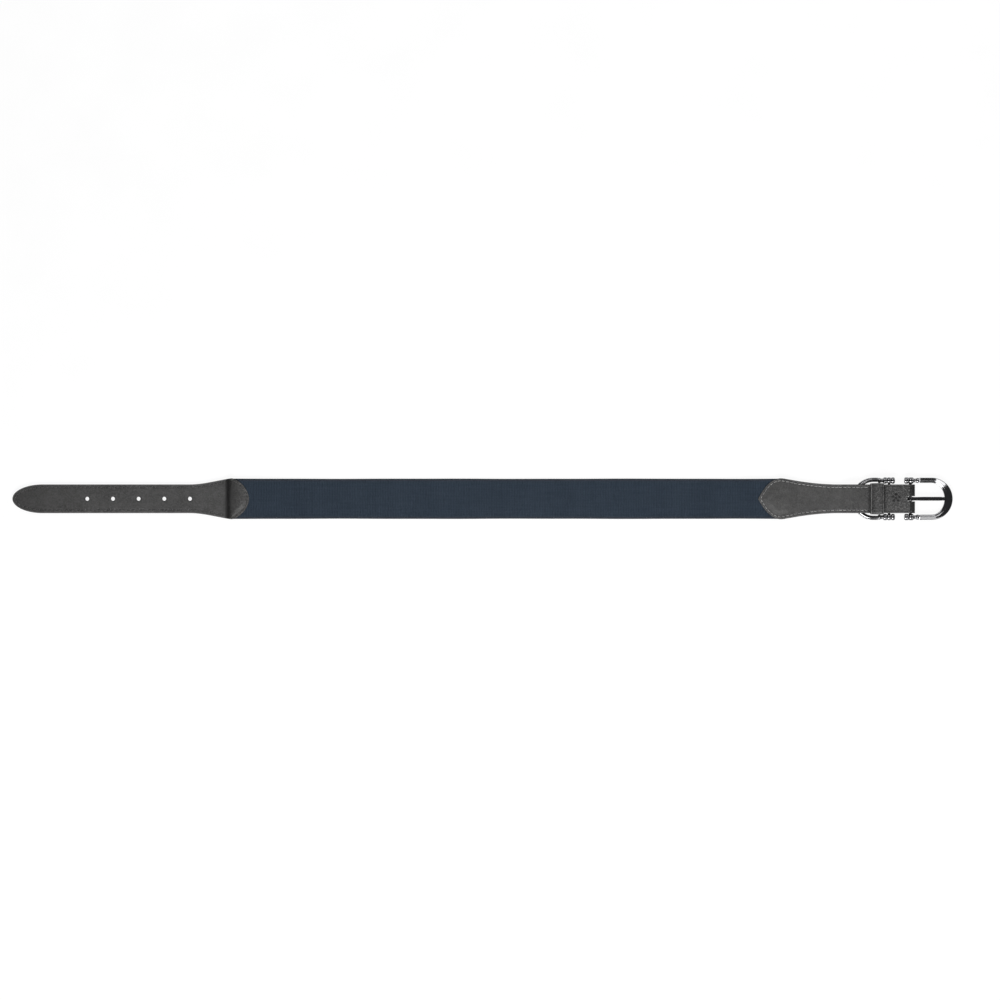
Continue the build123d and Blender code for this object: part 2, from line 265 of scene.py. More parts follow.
# ---- materials ----
class Shader:
    """Builds one material's nodes."""

    def __init__(self, name, **principled):
        self.material = bpy.data.materials.new(name)
        self.material.use_nodes = True
        self.tree = self.material.node_tree
        self.surface = self.tree.nodes["Principled BSDF"]
        for socket, value in principled.items():
            self.surface.inputs[socket.replace("_", " ")].default_value = value

    def node(self, kind, inputs=None, **settings):
        """A node with its settings and inputs; an input is a number, a colour or another node's output."""
        made = self.tree.nodes.new("ShaderNode" + kind)
        for key, value in settings.items():
            setattr(made, key, value)
        for socket, value in (inputs or {}).items():
            if isinstance(value, bpy.types.NodeSocket):
                self.tree.links.new(value, made.inputs[socket])
            else:
                made.inputs[socket].default_value = value
        return made

    def math(self, operation, *values):
        """Arithmetic on numbers or outputs."""
        return self.node("Math", dict(enumerate(values)), operation=operation).outputs[0]

    def times(self, value, by, plus=0.0):
        """value * by + plus."""
        return self.math("MULTIPLY_ADD", value, by, plus)

    def mapped(self, value, low, high, to_low=0.0, to_high=1.0):
        """value from low..high to to_low..to_high, held at the ends."""
        inputs = dict(enumerate((value, low, high, to_low, to_high)))
        return self.node("MapRange", inputs).outputs[0]

    def mix(self, share, low, high):
        """A colour between two."""
        return self.node("Mix", {0: share, 6: low, 7: high}, data_type="RGBA").outputs[2]

    def scaled(self, vector, along, across, up=1.0):
        """A vector drawn out along its axes, for streaks."""
        return self.node("Mapping", {"Vector": vector, "Scale": (along, across, up)}).outputs[0]

    def strip(self):
        """The flat coordinates of a strap in millimetres."""
        return self.scaled(self.node("UVMap", uv_map="Strip").outputs[0], *[1 / MM] * 3)

    def place(self):
        """The piece's own coordinates in millimetres."""
        return self.scaled(self.node("TexCoord").outputs["Object"], *[1 / MM] * 3)

    def number(self, name):
        """A number kept on the piece's points."""
        return self.node("Attribute", attribute_name=name).outputs["Fac"]

    def noise(self, vector, size, detail=2.0):
        """Soft noise with features of about that size."""
        inputs = {"Vector": vector, "Scale": 1.0 / size, "Detail": detail}
        return self.node("TexNoise", inputs).outputs[0]

    def set(self, **sockets):
        """Links outputs to the surface's sockets."""
        for socket, value in sockets.items():
            self.tree.links.new(value, self.surface.inputs[socket.replace("_", " ")])

    def bump(self, height, depth_mm):
        """Links a height of 0 to 1 as a bump of that depth."""
        self.set(Normal=self.node("Bump", {"Height": height, "Distance": depth_mm * MM}).outputs[0])


def grey(value, warmth=0.0):
    """A grey, a little warm or cool."""
    return (value * (1 + warmth), value, value * (1 - warmth), 1.0)


def leather_material():
    """Dark, finely pebbled leather: cells of about a millimetre with creases between them. The points'
    numbers add lighter rims of wear and painted highlight, dark marks that are mostly painted shade, and a
    coarser, wrinkled grain."""
    make = Shader("leather", Specular_IOR_Level=0.5)
    flat, warmth = make.strip(), 0.012
    drift = make.node("TexNoise", {"Vector": flat, "Scale": 0.9, "Detail": 1.0}).outputs["Color"]
    sway = {0: drift, 1: (0.8, 0.8, 0.0), 2: flat}
    warped = make.node("VectorMath", sway, operation="MULTIPLY_ADD").outputs[0]
    cells = make.node("TexVoronoi", {"Vector": warped, "Scale": 0.95}, feature="DISTANCE_TO_EDGE")
    pebble = make.mapped(cells.outputs["Distance"], 0.0, 0.22)
    pores = make.noise(flat, 0.22, 3.0)
    mottle = make.noise(warped, 1.7)
    patch = make.noise(flat, 4.6)
    cloud = make.noise(flat, 19.0, 3.0)
    wrinkle = make.number("wrinkle")
    crease = make.times(make.mapped(pebble, 1.0, 0.0), make.times(wrinkle, 0.45, 0.35))
    spread = make.times(wrinkle, 0.62, 0.16)
    light = make.times(make.mapped(mottle, 0.46, 0.68), spread)
    shade = make.times(make.mapped(mottle, 0.54, 0.34), spread)
    tone = make.mix(crease, grey(0.052, warmth), grey(0.016))
    tone = make.mix(light, tone, grey(0.105, warmth))
    tone = make.mix(shade, tone, grey(0.022, warmth))
    tone = make.mix(make.mapped(patch, 0.42, 0.66, 0.0, 0.30), tone, grey(0.090, warmth))
    tone = make.mix(make.mapped(cloud, 0.35, 0.7, 0.0, 0.30), tone, grey(0.088, warmth))
    # Lighter rims along the edges: partly wear, partly a painted highlight.
    wear_and_highlight = make.times(make.number("rim"), make.mapped(mottle, 0.30, 0.60))
    tone = make.mix(make.times(wear_and_highlight, 0.70), tone, grey(0.19, warmth))
    dull = make.mapped(make.math("ADD", pores, cloud), 0.7, 1.3, 0.38, 0.52)
    # The dark number mixes in near black: painted shade in grooves, creases, needle holes, round holes and
    # beside the keeper, and the darker fold and stamp.
    make.set(Base_Color=make.mix(make.number("dark"), tone, grey(0.006)), Roughness=dull)
    fine = make.times(pores, 0.3, make.times(pebble, 0.7))
    coarse = make.times(mottle, make.times(wrinkle, 1.9, 0.35), fine)
    make.bump(make.times(patch, 0.9, coarse), 0.11)
    return make.material


def edge_material():
    """Burnished and dyed edge of the leather, with faint layers in it."""
    make = Shader("leather_edge", Specular_IOR_Level=0.5)
    own = make.place()
    layers = make.noise(make.scaled(own, 0.08, 0.08), 0.5, 3.0)
    fibre = make.noise(own, 0.35, 4.0)
    make.set(
        Base_Color=make.mix(make.mapped(layers, 0.3, 0.7), grey(0.016, 0.04), grey(0.034, 0.05)),
        Roughness=make.mapped(fibre, 0.3, 0.7, 0.30, 0.46),
    )
    make.bump(make.math("ADD", layers, fibre), 0.05)
    return make.material


def flesh_material():
    """Back of the leather: a short nap in dark grey."""
    make = Shader("leather_back", Roughness=0.86, Specular_IOR_Level=0.2, Sheen_Weight=0.15)
    flat = make.strip()
    nap = make.noise(make.scaled(flat, 1.0, 0.55), 0.32, 5.0)
    patch = make.noise(flat, 8.0, 3.0)
    share = make.mapped(make.math("ADD", nap, patch), 0.7, 1.3)
    make.set(Base_Color=make.mix(share, grey(0.030, 0.05), grey(0.066, 0.07)))
    make.bump(nap, 0.12)
    return make.material


def elastic_material():
    """Navy elastic: warp threads along the band that bend over and under its cross ribs."""
    look = {"Roughness": 0.8, "Specular_IOR_Level": 0.22, "Sheen_Weight": 0.04, "Sheen_Roughness": 0.5}
    make = Shader("elastic", **look)
    navy, light_navy = (0.0165, 0.0275, 0.0430, 1.0), (0.0330, 0.0490, 0.0710, 1.0)
    valley_shade_navy, selvedge_navy = (0.009, 0.015, 0.024, 1.0), (0.030, 0.033, 0.041, 1.0)
    flat = make.strip()
    u, y = make.node("SeparateXYZ", {"Vector": flat}).outputs[:2]
    warp_pitch, pick_pitch = 0.62, 0.83
    warp = make.math("SINE", make.times(y, 2 * math.pi / warp_pitch))
    shift = make.times(make.math("SIGN", warp), math.pi / 2)
    pick = make.math("SINE", make.times(u, 2 * math.pi / pick_pitch, shift))
    thread = make.mapped(make.math("ABSOLUTE", warp), 0.0, 0.8)
    weave = make.times(thread, make.mapped(pick, -1.0, 1.0, 0.35, 1.0))
    fluff = make.noise(flat, 0.16, 4.0)
    cloud = make.noise(make.scaled(flat, 1.0, 0.25), 34.0, 3.0)
    yarn = make.noise(make.scaled(flat, 0.06, 1.0), 1.7)
    speck = make.noise(flat, 1.3)
    share = make.times(weave, 0.30, make.mapped(cloud, 0.3, 0.7, 0.0, 0.30))
    share = make.math("ADD", share, make.mapped(yarn, 0.35, 0.65, -0.10, 0.16))
    share = make.math("ADD", share, make.mapped(speck, 0.35, 0.65, -0.10, 0.14))
    tone = make.mix(share, navy, light_navy)
    # Painted shade in the valleys between the ribs.
    tone = make.mix(make.times(make.number("valley"), 0.30), tone, valley_shade_navy)
    # Greyer selvedge along each edge, with a painted highlight along the raised cord line inside it.
    tone = make.mix(make.times(make.number("selvedge"), 0.6), tone, selvedge_navy)
    make.set(Base_Color=tone)
    make.bump(make.times(fluff, 0.5, weave), 0.10)
    return make.material


def thread_material(name, low, high):
    """Waxed twisted thread."""
    make = Shader(name, Roughness=0.5, Specular_IOR_Level=0.4, Sheen_Weight=0.1)
    own = make.place()
    fibre = make.noise(own, 0.12, 3.0)
    soil = make.noise(own, 3.0)
    share = make.times(make.math("ADD", fibre, soil), 0.5)
    make.set(Base_Color=make.mix(make.mapped(share, 0.38, 0.60), low, high))
    make.bump(fibre, 0.03)
    return make.material


def metal_material():
    """Dark polished plating, with faint brush marks and smears."""
    make = Shader("metal", Metallic=1.0)
    own = make.place()
    smear = make.noise(own, 4.0, 3.0)
    scratch = make.noise(make.scaled(own, 4.0, 0.25), 0.5, 3.0)
    dark, light = (0.215, 0.215, 0.22, 1.0), (0.275, 0.275, 0.28, 1.0)
    make.set(
        Base_Color=make.mix(make.mapped(smear, 0.3, 0.7), dark, light),
        Roughness=make.mapped(make.math("ADD", smear, scratch), 0.7, 1.3, 0.09, 0.17),
    )
    make.bump(scratch, 0.004)
    return make.material


def floor_material():
    """White paper over a light table, so that nothing on it casts a heavy shadow."""
    make = Shader("paper", Roughness=0.9, Specular_IOR_Level=0.1, Emission_Strength=1.0)
    fibre = make.noise(make.place(), 60.0)
    make.set(
        Base_Color=make.mix(fibre, grey(0.09), grey(0.11)),
        Emission_Color=make.mix(fibre, grey(0.91), grey(0.93)),
    )
    return make.material


leather_materials = [leather_material(), edge_material(), flesh_material()]
elastic = elastic_material()
thread_dark = thread_material("thread_dark", grey(0.045, 0.02), grey(0.115, 0.02))
thread_light = thread_material("thread_light", grey(0.14, 0.01), grey(0.46, 0.01))
metal = metal_material()


# ---- outlines, as (u, y) of the upper edge ----
def billet_outline():
    """From the billet's tip to the point of its cap."""
    angle = np.linspace(0, quarter, 240)
    tip = points_of(tip_x + tip_length - tip_length * np.cos(angle), strap_half * np.sin(angle))
    last_hole = hole_places[-1]
    third = (billet_shoulder_x - last_hole) / 3
    shoulder = (billet_shoulder_x, shoulder_half)
    before = (billet_shoulder_x - third, shoulder_half - flare_slope * third)
    after = (billet_shoulder_x + 8.0, shoulder_half - 1.6)
    flare = bezier((last_hole, strap_half), (last_hole + third, strap_half), before, shoulder)
    cap = bezier(shoulder, after, (cap_tip_x - 0.9, shoulder_half / 2), (cap_tip_x, 0))
    return np.concatenate([tip, flare, cap[1:]])


def chape_outline():
    """From the chape's front point, round the fold and back to its rear point."""
    shoulder = (chape_shoulder_x, shoulder_half)
    before = (chape_shoulder_x - 12.5, shoulder_half - 0.7)
    after = (chape_shoulder_x + 7.0, shoulder_half - 0.4)
    point = bezier((point_x, 0), (point_x + 4.2, 7.0), before, shoulder)
    taper = bezier(shoulder, after, (taper_end_x - 28.0, strap_half + 0.4), (taper_end_x, strap_half))
    front = np.concatenate([point, taper[1:]])
    return np.concatenate([front, front[::-1] * (-1, 1) + (2 * fold_middle_u, 0)])


# ---- side profiles: (u, h) to (x, z) ----
def ramp(u, x0, z0, x1, z1):
    """Height and slope of a face that goes from z0 to z1, level at both ends."""
    t = np.clip((u - x0) / (x1 - x0), 0, 1)
    return z0 + (z1 - z0) * smooth(t), (z1 - z0) * 6 * t * (1 - t) / (x1 - x0)


def sloped(u, height, slope, h):
    """x and z of a point h above a face that has this height and slope at u."""
    size = np.sqrt(1 + slope**2)
    return u - h * slope / size, height + h / size


def billet_front_profile(u, h):
    """The front ply lies on the lining and climbs over the end of the elastic."""
    return sloped(u, *ramp(u, climb_start_x, lining_ply, climb_end_x, lining_ply + climb_rise), h)


def lining_profile(u, h):
    """The lining lies on its back: its outer face is below."""
    return u, lining_ply - h


def chape_profile(u, h):
    """The chape: top leg, round fold, bottom leg with its outer face below."""
    down, down_slope = ramp(u, *dip)
    up, up_slope = ramp(u, *rise)
    top_x, top_z = sloped(u, down + up - rise[1], down_slope + up_slope, h)
    angle = np.clip((u - fold_x) / fold_radius, 0, math.pi)
    reach = fold_inner + h
    round_x, round_z = fold_x + reach * np.sin(angle), bar_z + reach * np.cos(angle)
    on_top, on_back = u < fold_x, u > fold_x + fold_length
    x = np.where(on_top, top_x, np.where(on_back, 2 * fold_middle_u - u, round_x))
    z = np.where(on_top, top_z, np.where(on_back, ply - h, round_z))
    return x, z


def band_profile(u, h):
    """The elastic rises into the billet at one end and into the chape at the other."""
    rise_length, level_length, on_lining = 40.0, 3.0, lining_ply + 0.1
    left_x, right_x = cap_tip_x + level_length, point_x - level_length
    left, left_slope = ramp(u, left_x, on_lining, left_x + rise_length, 0.0)
    right, right_slope = ramp(u, right_x - rise_length, 0.0, right_x, band_high[2] - band_thickness)
    return sloped(u, left + right, left_slope + right_slope, h)


# ---- leather pieces ----
def fallen_edge(d, radius):
    """How far a rounded edge has fallen at distance d inside it."""
    inside = np.clip(1 - d / radius, 0, 1)
    return radius * (1 - np.sqrt(1 - inside**2))


def ripple(u, y, size):
    """Gentle unevenness, from -1 to 1."""
    return (
        np.sin(u / (3.1 * size) + 1.3) * np.cos(y / (1.9 * size) + 0.4)
        + 0.6 * np.sin(u / (1.3 * size) - y / (1.7 * size) + 2.1)
        + 0.4 * np.cos(u / (0.7 * size) + y / (0.9 * size))
    ) / 2


def crowned(y):
    """How far a strap's face has fallen at y from its middle line."""
    fall, half = 0.16, 14.0
    return fall * (np.abs(y) / half) ** 2


class Leather:
    """The flat layout of one leather piece: columns along its outline and rows in from its edge."""

    insets = np.array([
        0, 0.1, 0.25, 0.45, 0.7, 1.0, 1.25, 1.5, 1.8, 2.1,
        2.4, 2.7, 2.95, 3.2, 3.5, 3.85, 4.3, 4.9, 5.6,
    ])
    spacing, fine_spacing = 0.85, 0.33

    def __init__(self, outline, holes=(), slot=None, fine=(), inner_rows=10):
        self.holes, self.slot = holes, slot
        along = lengths_along(outline)
        self.total = along[-1]
        self.along = self.columns(outline[:, 0], along, fine)
        self.edge = at_lengths(outline, self.along)
        self.edge[0, 1] = self.edge[-1, 1] = 0.0
        self.reach = self.inward(outline)
        self.fill(inner_rows)

    def columns(self, u, along, fine):
        """Lengths along the edge where columns start: even, but closer by holes, slot and fine grain."""
        even = np.linspace(0, 1, int(self.total / self.spacing) + 1) * self.total
        groups = [hole + hole_radius * np.cos(np.linspace(math.pi, 0, 17)) for hole in self.holes]
        if self.slot:
            start, end = self.slot
            round_end = slot_half * (1 - np.cos(np.linspace(0, quarter, 9)))
            groups.append(start + round_end)
            groups.append(np.linspace(start + slot_half, end - slot_half, 56)[1:-1])
            groups.append(end - round_end[::-1])
        groups += [np.arange(start, end, self.fine_spacing) for start, end in fine]
        groups = [np.interp(group, u, along) for group in groups]
        for group in groups:
            even = even[(even < group[0] - 0.35) | (even > group[-1] + 0.35)]
        return np.sort(np.concatenate([even, *groups]))

    def inward(self, outline):
        """Directions in from the edge, turned to the middle line at both ends so that corners mitre."""
        step, turn_length = 0.05, 9.0
        ahead = at_lengths(outline, np.clip(self.along + step, 0, self.total))
        behind = at_lengths(outline, np.clip(self.along - step, 0, self.total))
        run = unit(ahead - behind)
        normal = turned = points_of(run[:, 1], -run[:, 0])
        for end, direction in ((0, (1.0, 0.0)), (self.total, (-1.0, 0.0))):
            share = (1 - smooth(np.abs(self.along - end) / turn_length))[:, None]
            turned = turned * (1 - share) + np.array(direction) * share
        turned = unit(turned)
        return turned / (turned * normal).sum(axis=1)[:, None]

    def lane(self, inset):
        """The line at this inset from the edge, or at one inset for each column."""
        points = self.edge + self.reach * np.broadcast_to(inset, self.along.shape)[:, None]
        points[0, 1] = points[-1, 1] = 0.0
        return points

    def spine(self):
        """Where each column ends: on the middle line, or on the rim of a hole or slot."""
        u = self.edge[:, 0].copy()
        room, spread = self.insets[-1] + 0.6, 40.0
        for end, sign in ((0, 1), (self.total, -1)):
            far = np.abs(self.along - end)
            u += sign * (room + 0.45 * far) * (1 - smooth(far / spread))
        y = np.zeros_like(u)
        for hole in self.holes:
            y = np.maximum(y, np.sqrt(np.clip(hole_radius**2 - (u - hole) ** 2, 0, None)))
        if self.slot:
            from_end = np.minimum(u - self.slot[0], self.slot[1] - u)
            in_end = np.clip(slot_half - from_end, 0, None)
            y = np.where(from_end > 0, np.sqrt(np.clip(slot_half**2 - in_end**2, 0, None)), y)
        y[y < 1e-3] = 0.0
        return points_of(u, y)

    def fill(self, inner_rows):
        """All points of the upper half, columns by rows, and how far each lies inside the edge."""
        lanes = [self.lane(inset) for inset in self.insets]
        last, end = lanes[-1], self.spine()
        lanes += [last + (end - last) * share for share in np.arange(1, inner_rows + 1) / inner_rows]
        self.open = end[:, 1] > 0
        self.flat = np.stack(lanes, axis=1)
        self.depth = np.linalg.norm(self.flat - self.edge[:, None, :], axis=2)
        self.depth[:, : len(self.insets)] = self.insets

    def seam(self, inset):
        """The stitch line at this inset, and its length at each column."""
        line = self.lane(inset)
        return line, lengths_along(line)

    def at_holes(self, u, y, width):
        """1 on the rim of a hole, falling off over this width."""
        far = np.full(u.shape, 99.0)
        for hole in self.holes:
            far = np.minimum(far, np.abs(np.hypot(u - hole, y) - hole_radius))
        return bell(far, width)


def leather_mesh(name, rows, faces, slots):
    """A leather piece from rows of x, y, z, strip u, strip y and the leather material's three numbers."""
    rows = np.concatenate(rows)
    return mesh_piece(
        name,
        rows[:, :3],
        np.concatenate(faces),
        leather_materials,
        values=dict(zip(("rim", "dark", "wrinkle"), rows[:, 5:].T)),
        slots=np.concatenate(slots),
        strip=rows[:, 3:5],
    )


def leather_piece(name, layout, profile, outer, dark, wrinkle):
    """Builds a leather piece. outer gives the height of its outer face at (u, y, d), and dark and wrinkle
    the numbers for the leather material."""
    u, d = layout.flat[..., 0], layout.depth
    inner = np.where(d < 0.5, 0.1 * (1 - d / 0.5), 0.0)
    columns, rows = u.shape
    edge_rows = np.count_nonzero(layout.insets[1:] < 0.5)
    on_edge = np.tile(np.arange(rows - 1) < edge_rows, columns - 1)
    cut = layout.open[:-1] | layout.open[1:]
    points, faces, slots = [], [], []
    for side, numbers in zip((1, -1), numbered(2, 2, columns, rows)):
        y = side * layout.flat[..., 1]
        for h in (outer(u, y, d), inner):
            x, z = profile(u, h)
            # rim: the lighter band along the edge, partly wear and partly a painted highlight.
            marks = (bell(d - 0.55, 0.4), np.clip(dark(u, y, d), 0, 1), wrinkle(u, y))
            points.append(points_of(x, y, z, u, y, *marks).reshape(-1, 8))
        faces += [quads(numbers[0]), quads(numbers[1]), quads(numbers[..., 0])]
        faces.append(quads(numbers[..., -1])[cut])
        slots += [np.where(on_edge, EDGE, LEATHER), np.where(on_edge, EDGE, FLESH)]
        slots.append(np.full(columns - 1 + np.count_nonzero(cut), EDGE))
    return leather_mesh(name, points, faces, slots)


def declare_leather(piece, body, node):
    """Says where a piece belongs."""
    declare(piece, body, "leather", node)


def seam_dips(layout, inset, groove, needle, covers):
    """A face's drop along a seam, and its darkness: a shallow groove, deeper where the thread goes in, with
    painted shade in the needle holes.
    """
    inset = np.broadcast_to(inset, layout.along.shape)[:, None]
    length = layout.seam(inset[:, 0])[1]
    from_hole = np.abs((length / stitch_pitch + 0.5) % 1 - 0.5) * stitch_pitch
    pull = bell(from_hole, 0.62)[:, None]

    def drop(u, d):
        off = d - inset
        pressed = bell(off, 0.62) * groove + bell(off, 0.5) * needle * pull
        bulge = 0.05 * bell(off - 1.15, 0.8) * (1 - pull)
        return (pressed - bulge) * covers(u)

    # Painted shade in the needle holes.
    def dark(u, d):
        return 0.75 * bell(d - inset, 0.42) * pull * covers(u)

    return drop, dark


def stitch_rings(profile, flat, h, t, reach):
    """Rings of one stitch's twisted thread, along the flat line at height h."""
    angle = np.linspace(0, 2 * math.pi, 10, endpoint=False)
    x, z = profile(flat[:, 0], h)
    up_x, up_z = profile(flat[:, 0], h + 0.1)
    core = points_of(x, flat[:, 1], z)
    ahead = unit(np.gradient(core, axis=0))
    across = unit(np.cross(ahead, points_of(up_x - x, 0.0, up_z - z)))
    up = np.cross(across, ahead)
    twist = 2 * math.pi * (t * reach / 1.5)[:, None]
    fat = thread_radius * (1 + 0.14 * np.cos(2 * (angle - twist)))
    fat = fat * np.where(np.abs(t) > 0.99, 0.55, 1.0)[:, None]
    over, beside = (np.cos(angle) * fat)[..., None], (np.sin(angle) * fat)[..., None]
    return core[:, None, :] + up[:, None, :] * over + across[:, None, :] * beside


def stitches(name, layout, profile, inset, surface, covers, material):
    """Thread along a seam: one short twisted length a stitch, bent down into its two needle holes."""
    line, length = layout.seam(inset)
    t = np.linspace(-1, 1, 13)
    parts = []
    for k in range(int(length[-1] / stitch_pitch)):
        middle = (k + 0.5) * stitch_pitch
        reach = stitch_length / 2 + rng.normal(0, 0.05)
        lean = rng.normal(0.10, 0.03)
        lift = rng.normal(0.0, 0.02)
        if covers(np.interp(middle, length, line[:, 0])) <= 0.5:
            continue
        flat = points_of(*(np.interp(middle + t * reach, length, column) for column in line.T))
        run = unit(np.gradient(flat, axis=0))
        flat += points_of(-run[:, 1], run[:, 0]) * (t * lean)[:, None]
        dive = 0.62 * np.abs(t) ** 5
        h = surface + thread_radius * 0.75 + lift - dive + 0.05 * (1 - t**2)
        for side in (1, -1):
            parts.append(lofted(stitch_rings(profile, flat * (1, side), h, t, reach)))
    return mesh_piece(name, *joined(parts), [material])


def billet_covers(u):
    """The edge seam stops where the front ply starts to climb."""
    return smooth((climb_start_x - u) / 1.2 + 0.5)


def cap_covers(u):
    """The cap's seam."""
    return smooth((u - billet_shoulder_x) / 1.2 + 0.5)


def build_billet():
    """Front ply and lining, with the thread round them."""
    layout = Leather(billet_outline(), holes=hole_places)
    edge_dips, edge_dark = seam_dips(layout, billet_inset, billet_groove, 0.26, billet_covers)
    cap_dips, cap_dark = seam_dips(layout, cap_inset, cap_groove, 0.30, cap_covers)
    step_x = climb_end_x - 3.4

    def front_outer(u, y, d):
        cap = smooth((u - climb_end_x + 1.0) / 4.0)
        h = ply - fallen_edge(d, 0.62) - edge_dips(u, d) - cap_dips(u, d)
        h = h - 0.07 * bell(d - 1.35, 0.22) * (1 - cap)
        h = h - skived * (1 - smooth((d - cap_inset + 0.8) / 5.4)) * cap
        h = h - 0.75 * bell(u - step_x, 1.7) - crowned(y)
        h = h - 0.18 * layout.at_holes(u, y, 0.6)
        return np.maximum(h + 0.09 * ripple(u, y, 5.0) * smooth(d / 3), 0.5)

    def front_dark(u, y, d):
        # Painted shade in the groove where the front ply climbs over the elastic's end.
        groove = 0.97 * bell(u - step_x, 2.2, power=4)
        # Painted shade on the cap beyond the groove, fading over 17 mm.
        groove = np.maximum(groove, 0.84 * (1 - smooth((u - step_x) / 17.0)) * (u > step_x))
        # Darker towards the tip, fading over 55 mm.
        groove = groove + 0.22 * (1 - smooth((u - tip_x) / 55.0))
        # Painted shade round the rims of the holes.
        rim = 0.75 * layout.at_holes(u, y, 0.6)
        return np.maximum(groove, rim) + edge_dark(u, d) + cap_dark(u, d)

    def back_outer(u, y, d):
        h = lining_ply - fallen_edge(d, 0.55)
        h = h - 0.42 * bell(d - billet_inset, 0.6) * billet_covers(u)
        h = h - 0.42 * bell(d - cap_inset, 0.6) * cap_covers(u)
        return h - 0.14 * layout.at_holes(u, y, 0.6)

    def back_dark(u, y, d):
        # Painted shade round the rims of the holes.
        return 0.5 * layout.at_holes(u, y, 0.55)

    def wrinkle(u, y):
        return 0.25 + 0.5 * smooth((u - climb_end_x) / 6.0)

    front = leather_piece("billet_top", layout, billet_front_profile, front_outer, front_dark, wrinkle)
    back = leather_piece("billet_back", layout, lining_profile, back_outer, back_dark, wrinkle)
    declare_leather(front, "billet", "billet_front")
    declare_leather(back, "billet", "billet_lining")
    cap_face = ply - cap_groove - skived_at_seam
    back_face = lining_ply - back_seam
    for name, profile, inset, face, covers, *nodes in (
        ("billet_thread", billet_front_profile, billet_inset, ply - billet_groove, billet_covers,
         "billet_stitching"),
        ("cap_thread", billet_front_profile, cap_inset, cap_face, cap_covers, "billet_cap_stitching"),
        ("billet_back_thread", lining_profile, billet_inset, back_face, billet_covers),
    ):
        piece = stitches(name, layout, profile, inset, face, covers, thread_dark)
        declare(piece, "billet", "thread_dark", *nodes)


def from_stamp(u, y):
    """Place in the small stamped ornament between the keeper and the buckle."""
    return u - (bar_x - 14.5), y - 1.2


def rosette(u, y):
    """Depth of the stamped ornament: five dots round a sixth."""
    x, y = from_stamp(u, y)
    size, dots, reach, turned_by, deep = 1.4, 5, 3.45, 0.3, 0.28
    depth = deep * bell(np.hypot(x, y), size, power=4)
    for k in range(dots):
        angle = 2 * math.pi * k / dots + turned_by
        gap = np.hypot(x - reach * math.cos(angle), y - reach * math.sin(angle))
        depth = depth + deep * bell(gap, size, power=4)
    return depth


def build_chape():
    """The chape's one strip, and the thread that closes its two legs."""
    slot = (slot_x, 2 * fold_middle_u - slot_x)
    fine = [(bar_x - 20.0, bar_x - 9.0)]
    layout = Leather(chape_outline(), slot=slot, fine=fine, inner_rows=24)
    sewn_to_x = keeper_low[0] - 1.0
    edge_u = layout.edge[:, 0]
    from_point = np.minimum(edge_u, 2 * fold_middle_u - edge_u) - point_x
    inset = point_inset + (chape_inset - point_inset) * smooth((from_point - 14.0) / 26.0)
    crease_inset = 1.7

    def front_covers(u):
        return (u < sewn_to_x).astype(float)

    def back_covers(u):
        return (u > 2 * fold_middle_u - sewn_to_x).astype(float)

    def point_covers(u):
        return (u < chape_shoulder_x).astype(float)

    def edge_covers(u):
        return front_covers(u) - point_covers(u)

    def free(u):
        return 1 - front_covers(u) - back_covers(u)

    front_dips, front_dark = seam_dips(layout, inset, chape_groove, 0.28, front_covers)

    def outer(u, y, d):
        on_top = u < fold_x
        from_seam = d - inset[:, None]
        point = (1 - smooth((u - chape_shoulder_x) / 14.0)) * on_top
        h = ply - fallen_edge(d, 0.62) - front_dips(u, d)
        h = h - skived * (1 - smooth((from_seam + 0.4) / 8.0)) * point
        h = h - 0.44 * bell(from_seam, 0.6) * back_covers(u)
        h = h - 0.16 * bell(d - crease_inset, 0.28) * free(u)
        h = h - 0.06 * bell(d - 1.35, 0.22) * (1 - free(u))
        h = h - rosette(u, y) * on_top
        uneven = 0.09 * ripple(u, y, 5.5) * smooth(d / 3) - crowned(y)
        return np.maximum(h + np.where(on_top, uneven, 0.0), 0.5)

    def dark(u, y, d):
        # Much darker over the fold round the bar.
        tone = 0.97 * smooth((u - fold_x + 2.6) / 1.2) * smooth((2 * fold_middle_u - u - fold_x) / 2.0)
        # Painted shade on the strap along both edges of the keeper.
        for edge_x in (keeper_low[0] - 0.5, keeper_high[0] + 0.5):
            tone = tone + 0.75 * bell(u - edge_x, 1.1)
        # Painted shade in the crease along the edges of the free part.
        crease = 0.9 * bell(d - crease_inset, 0.42) * free(u)
        stamp = 4.2 * rosette(u, y) * (u < fold_x)
        return np.maximum(tone, crease) + front_dark(u, d) + stamp

    def wrinkle(u, y):
        pressed = bell(np.hypot(*from_stamp(u, y)), 6.0, power=4)
        coarse = smooth((u - sewn_to_x + 8.0) / 14.0) * (u < fold_x + 2.0)
        return 0.12 + 1.4 * coarse * (1 - 0.9 * pressed)

    strap = leather_piece("chape_strap", layout, chape_profile, outer, dark, wrinkle)
    declare_leather(strap, "chape", "chape_leather")
    face = ply - chape_groove
    for name, surface, covers, *nodes in (
        ("point_thread", face - skived_at_seam, point_covers, "chape_point_stitching"),
        ("edge_thread", face, edge_covers, "chape_edge_stitching"),
        ("chape_back_thread", ply - back_seam, back_covers),
    ):
        piece = stitches(name, layout, chape_profile, inset, surface, covers, thread_light)
        declare(piece, "chape", "thread_light", *nodes)


